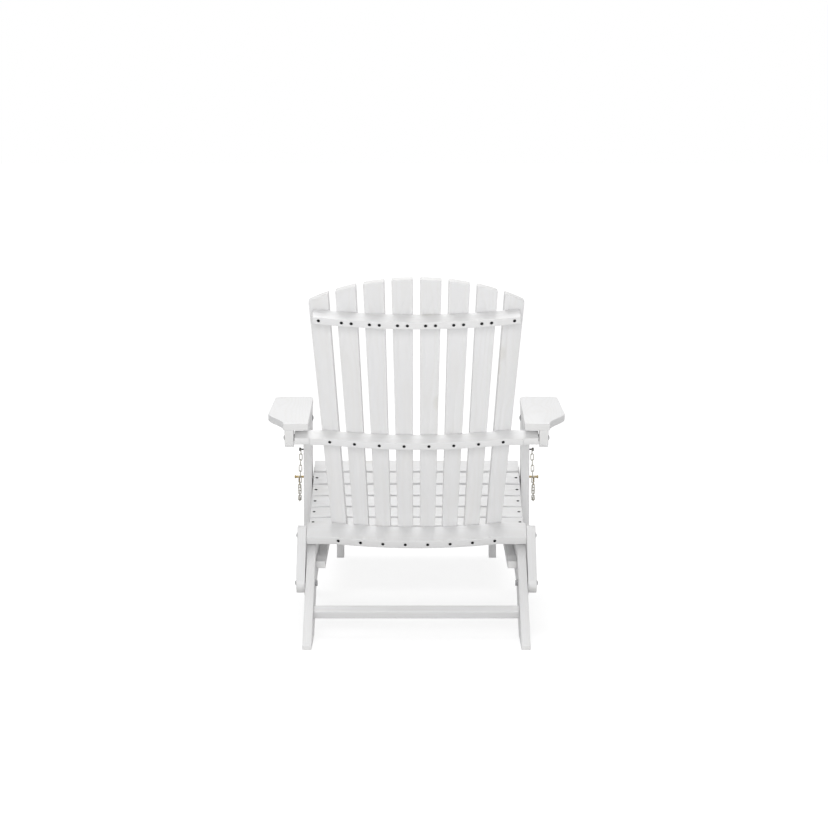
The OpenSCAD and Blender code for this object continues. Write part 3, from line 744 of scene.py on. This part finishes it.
class LOUNGER_OT_leg_fittings(Operator):
    """Makes each leg's half of the arm's bolt, and the black screw that holds its chain"""

    bl_idname = "lounger.leg_fittings"
    bl_label = "Make the leg fittings"

    def execute(self, context):
        metal = context.scene.metal_finish
        steel = metal_finish("leg_bolts", metal.steel_color, 0.36)
        black = metal_finish(
            "chain_screws", metal.screw_color, 0.46, metallic=0.5, spots=0.5, dark=0.5
        )
        for side, sign in zip(SIDES, (1, -1)):
            node, body = "leg_fittings_" + side, "leg_" + side
            leg_face = min(abs(corner.x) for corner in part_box("front_leg_" + side))
            for shape in solids(node):
                corners = shape.reshape(-1, 3)
                low, high = corners.min(axis=0), corners.max(axis=0)
                inner, outer = sorted(np.abs([low[0], high[0]]))
                place = (low + high) / 2 * (0, 1, 1) + (sign * inner, 0, 0)
                radius, length = (high[2] - low[2]) / 2, outer - inner
                if inner < leg_face:
                    profile = dome_head(BOLT_RADIUS, length, radius, leg_face - inner)
                    kind = ("turned_bolt_" + side, profile, place, sign, steel, "steel")
                else:
                    profile = pan_head(CHAIN_SCREW_RADIUS, length, radius, CHAIN_SCREW_HEAD)
                    kind = ("chain_screw_" + side, profile, place, sign, black, "black")
                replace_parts(turned_piece(*kind, body), node)
        return {"FINISHED"}


class LOUNGER_OT_screws(Operator):
    """Makes the black cross-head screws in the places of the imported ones"""

    bl_idname = "lounger.screws"
    bl_label = "Make the screws"

    def execute(self, context):
        metal = context.scene.metal_finish
        black = metal_finish(
            "black_screws", metal.screw_color, 0.40, metallic=0.7, spots=0.5, dark=0.5
        )
        for body, node in (
            ("frame", "frame_screws"), ("back", "back_screws"), ("footrest", "footrest_screws")
        ):
            draw = np.random.default_rng(len(node))
            copies = []
            for solid in solids(node):
                centre, axes, half = spread_of(solid)
                line = (solid.reshape(-1, 3) - centre) @ axes.T
                # The head is where the solid is widest.
                wide = np.abs(line[:, 1])
                head_side = np.sign(line[wide > 0.98 * wide.max(), 0].mean())
                spin = draw.uniform(0, math.pi / 2)
                up = axes[0] * head_side
                right = axes[1] * math.cos(spin) + axes[2] * math.sin(spin)
                turn = np.stack([right, np.cross(up, right), up])
                points, faces = screw_shape(
                    half[1] - SCREW_HEAD_PLAY, 2 * half[0], metal.recess_depth
                )
                copies.append(points @ turn + centre + up * half[0])
            points, blocks = repeated(copies, faces)
            name = node.replace("screws", "cross_screws")
            piece = make_piece(name, points, blocks, black, body)
            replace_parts(piece, node)
        return {"FINISHED"}


# Chains and lock pins


def link_loop(half, bulge):
    """One chain link in its own axes: a round wire carried along a stadium.

    Along the path the turn goes from -pi/2 to pi/2 over one end, holds along a side, and
    goes on to 3 pi/2 over the other end, while the middle of the bend slides from one end
    to the other. The wire swells by a bell curve at the weld, in the middle of one side."""
    wire = half[2]
    bend = half[1] - wire
    side = 2 * (half[0] - half[1])
    arc = math.pi * bend
    marks = np.cumsum([0, arc, side, arc, side])
    way = np.arange(LINK_STEPS) / LINK_STEPS * marks[-1]
    turn = np.interp(way, marks, np.array([-1, 1, 1, 3, 3]) * math.pi / 2)
    slide = np.interp(way, marks, np.array([1, 1, -1, -1, 1]) * side / 2)
    out = np.stack([np.cos(turn), np.sin(turn), 0 * turn], axis=-1)
    path = out * bend + np.stack([slide, 0 * slide, 0 * slide], axis=-1)
    weld = arc + side / 2
    thick = wire * (1 + bulge * np.exp(-(((way - weld) / (0.9 * wire)) ** 2)))
    return wire_points(path, out, [0, 0, 1], thick, LINK_COLUMNS)


class LOUNGER_OT_chains(Operator):
    """Makes the two chains of welded links that keep the lock pins with the chair"""

    bl_idname = "lounger.chains"
    bl_label = "Make the chains"

    def execute(self, context):
        metal = context.scene.metal_finish
        bright = metal_finish("chain_wire", metal.chain_color, 0.34, spots=0.45, dark=0.42)
        for side in SIDES:
            node = "chain_" + side
            copies = []
            for solid in solids(node):
                centre, axes, half = spread_of(solid)
                copies.append(link_loop(half, metal.weld_bulge) @ axes + centre)
            points, blocks = repeated(copies, [grid_faces(LINK_STEPS, LINK_COLUMNS, True)])
            piece = make_piece("welded_" + node, points, blocks, bright)
            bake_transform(piece)
            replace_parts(piece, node)
        return {"FINISHED"}


def split_ring(radius, wire, pitch, turns=2.0, steps=150, columns=10):
    """A key ring about X: a round wire wound twice, with blunt ends.

    Point t of the path is at turn 2 pi t and shifts by pitch t along X, t from 0 to turns."""
    way = np.linspace(0, turns, steps)
    turn = 2 * np.pi * way
    out = np.stack([0 * turn, np.sin(turn), np.cos(turn)], axis=-1)
    slide = pitch * (way - turns / 2)
    path = out * radius + np.stack([slide, 0 * slide, 0 * slide], axis=-1)
    points = wire_points(path, out, [-1, 0, 0], np.full(steps, wire / 2), columns)
    return np.concatenate([points, path[[0, -1]]]), turned_faces(steps, columns)


def pin_profile(length):
    """Radius and height of a turned lock pin: rounded tip, plain shank and a knob with eased
    edges. Heights are distances from the tip of the pin."""
    head, ease = length - PIN_HEAD, PIN_EASE
    profile = [
        (0.40, 0), (0.80, 0.7 * ease), (1.0, 3 * ease), (1.0, head / 2), (1.0, head),
        (1.26, head + 0.0001), (1.4, head + ease), (1.4, length - 1.4 * ease),
        (1.3, length - 0.6 * ease), (1.12, length - 0.1 * ease), (0.9, length),
    ]
    table = np.array(profile)
    return table[:, 0] * PIN_RADIUS, table[:, 1]


class LOUNGER_OT_pins(Operator):
    """Makes the two lock pins, each with its split ring"""

    bl_idname = "lounger.pins"
    bl_label = "Make the lock pins"

    def execute(self, context):
        metal = context.scene.metal_finish
        zinc = pin_finish()
        for side, sign in zip(SIDES, (1, -1)):
            node, body = "lock_pin_" + side, "pin_" + side
            low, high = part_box(node)
            inner, outer = (low.x, high.x) if sign > 0 else (-high.x, -low.x)
            middle_y = (low.y + high.y) / 2
            pin_z = high.z - 1.4 * PIN_RADIUS
            profile = pin_profile(outer - inner)
            place = [sign * inner, middle_y, pin_z]
            pin = turned_piece("turned_" + node, profile, place, sign, zinc, "zinc", body)
            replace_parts(pin, node)
            wire = metal.split_ring_wire
            ring_radius = (pin_z - low.z) / 2 - wire / 4
            points, faces = split_ring(ring_radius, wire, 1.02 * wire)
            ring_x = sign * (outer - RING_FROM_PIN_END)
            points = points + [ring_x, middle_y, pin_z - ring_radius]
            make_piece("split_ring_" + side, points, faces, zinc, body)
        return {"FINISHED"}


# Stage


def area_lamp(name, power, size, place, aim):
    """A square lamp at a place, turned to aim at a point."""
    data = bpy.data.lights.new(name, "AREA")
    data.energy = power
    data.size = size
    lamp = bpy.data.objects.new(name, data)
    bpy.context.scene.collection.objects.link(lamp)
    toward = np.subtract(aim, place)
    flat = math.hypot(toward[0], toward[1])
    lamp.location = place
    lamp.rotation_euler = (
        math.atan2(flat, -toward[2]), 0, math.atan2(toward[1], toward[0]) - math.pi / 2
    )


def white_to_camera(graph):
    """1 for rays from the camera and for those that metal or glass shows, 0 for the rest."""
    ray = graph.node("ShaderNodeLightPath", None, None, "Is Camera Ray")
    seen = ray + ray.beside("Is Glossy Ray") + ray.beside("Is Transmission Ray")
    return seen > 0.5


def floor_finish(studio):
    """A matt floor that lights the chair. The camera sees it paler, most of all far off."""
    material, graph = surface("pale_floor")
    matt = graph.node("ShaderNodeBsdfDiffuse", None, {"Color": (*studio.floor_color, 1)})
    bright = graph.node("ShaderNodeBsdfDiffuse", None, {"Color": SHOWN_FLOOR})
    glow = graph.node("ShaderNodeEmission", None, {"Color": WHITE, "Strength": GLOW_STRENGTH})
    x, y, _ = graph.axes(graph.node("ShaderNodeTexCoord", None, None, "Object"))
    reach = (x ** 2 + y ** 2) ** 0.5
    share = reach.ramp(NEAR_FLOOR, FAR_FLOOR) * studio.far_glow + studio.floor_glow
    shown = graph.node("ShaderNodeMixShader", None, {0: share, 1: bright, 2: glow})
    mixed = graph.node(
        "ShaderNodeMixShader", None, {0: white_to_camera(graph), 1: matt, 2: shown}
    )
    graph.node("ShaderNodeOutputMaterial", None, {"Surface": mixed})
    return material


def light_sky(world, strength):
    """Even light from all around, in which the camera sees plain white."""
    world.use_nodes = True
    graph = Graph(world.node_tree)
    shown = white_to_camera(graph) * (1 - strength) + strength
    air = graph.node("ShaderNodeBackground", None, {"Color": WHITE, "Strength": shown})
    graph.node("ShaderNodeOutputWorld", None, {"Surface": air})


class LOUNGER_OT_studio(Operator):
    """Sets the chair on a pale floor in even light, with the camera behind it"""

    bl_idname = "lounger.studio"
    bl_label = "Set the stage"

    def execute(self, context):
        scene = context.scene
        studio = scene.studio_settings
        half = studio.backdrop_size / 2
        corners = np.array([[-1, -1, 0], [1, -1, 0], [1, 1, 0], [-1, 1, 0]]) * half
        mesh = bpy.data.meshes.new("floor")
        mesh.from_pydata(corners.tolist(), [], [(0, 1, 2, 3)])
        mesh.materials.append(floor_finish(studio))
        floor = bpy.data.objects.new("floor", mesh)
        scene.collection.objects.link(floor)

        scene.world = bpy.data.worlds.new("studio")
        light_sky(scene.world, studio.sky_strength)
        area_lamp("key", studio.key_power, size=4.0, place=(0, 7.2, 1.9), aim=(0, 0.2, 0.4))
        area_lamp("fill", studio.fill_power, size=3.0, place=(0.3, -0.5, 4.2), aim=(0, 0, 0.3))

        data = bpy.data.cameras.new("camera")
        data.lens = studio.camera_lens
        data.sensor_width = SENSOR_WIDTH
        data.shift_x = studio.camera_shift
        camera = bpy.data.objects.new("camera", data)
        scene.collection.objects.link(camera)
        camera.location = (0, studio.camera_distance, studio.camera_height)
        camera.rotation_euler = (math.pi / 2 - studio.camera_pitch, 0, math.pi)
        scene.camera = camera
        scene.view_settings.view_transform = "Standard"
        return {"FINISHED"}


STEPS = (
    LOUNGER_OT_boards,
    LOUNGER_OT_bolts,
    LOUNGER_OT_leg_fittings,
    LOUNGER_OT_screws,
    LOUNGER_OT_chains,
    LOUNGER_OT_pins,
    LOUNGER_OT_studio,
)
SETTINGS = {
    "board_paint": BoardPaint,
    "metal_finish": MetalFinish,
    "studio_settings": StudioSettings,
}


class LOUNGER_PT_panel(Panel):
    """Lists the settings and steps of the lounge chair."""

    bl_label = "Lounge chair"
    bl_idname = "LOUNGER_PT_panel"
    bl_space_type = "VIEW_3D"
    bl_region_type = "UI"
    bl_category = "Lounge chair"

    def draw(self, context):
        layout = self.layout
        for name, group in SETTINGS.items():
            box = layout.box()
            box.label(text=group.bl_rna.name)
            for key in group.__annotations__:
                box.prop(getattr(context.scene, name), key)
        for step in STEPS:
            layout.operator(step.bl_idname)


def register():
    for group in SETTINGS.values():
        bpy.utils.register_class(group)
    for step in (*STEPS, LOUNGER_PT_panel):
        bpy.utils.register_class(step)
    for name, group in SETTINGS.items():
        setattr(bpy.types.Scene, name, PointerProperty(type=group))


def unregister():
    for name in SETTINGS:
        delattr(bpy.types.Scene, name)
    for step in (LOUNGER_PT_panel, *reversed(STEPS)):
        bpy.utils.unregister_class(step)
    for group in reversed(SETTINGS.values()):
        bpy.utils.unregister_class(group)


def main():
    """Makes every piece and the stage."""
    register()
    bpy.ops.lounger.boards()
    bpy.ops.lounger.bolts()
    bpy.ops.lounger.leg_fittings()
    bpy.ops.lounger.screws()
    bpy.ops.lounger.chains()
    bpy.ops.lounger.pins()
    bpy.ops.lounger.studio()


if __name__ == "__main__":
    main()
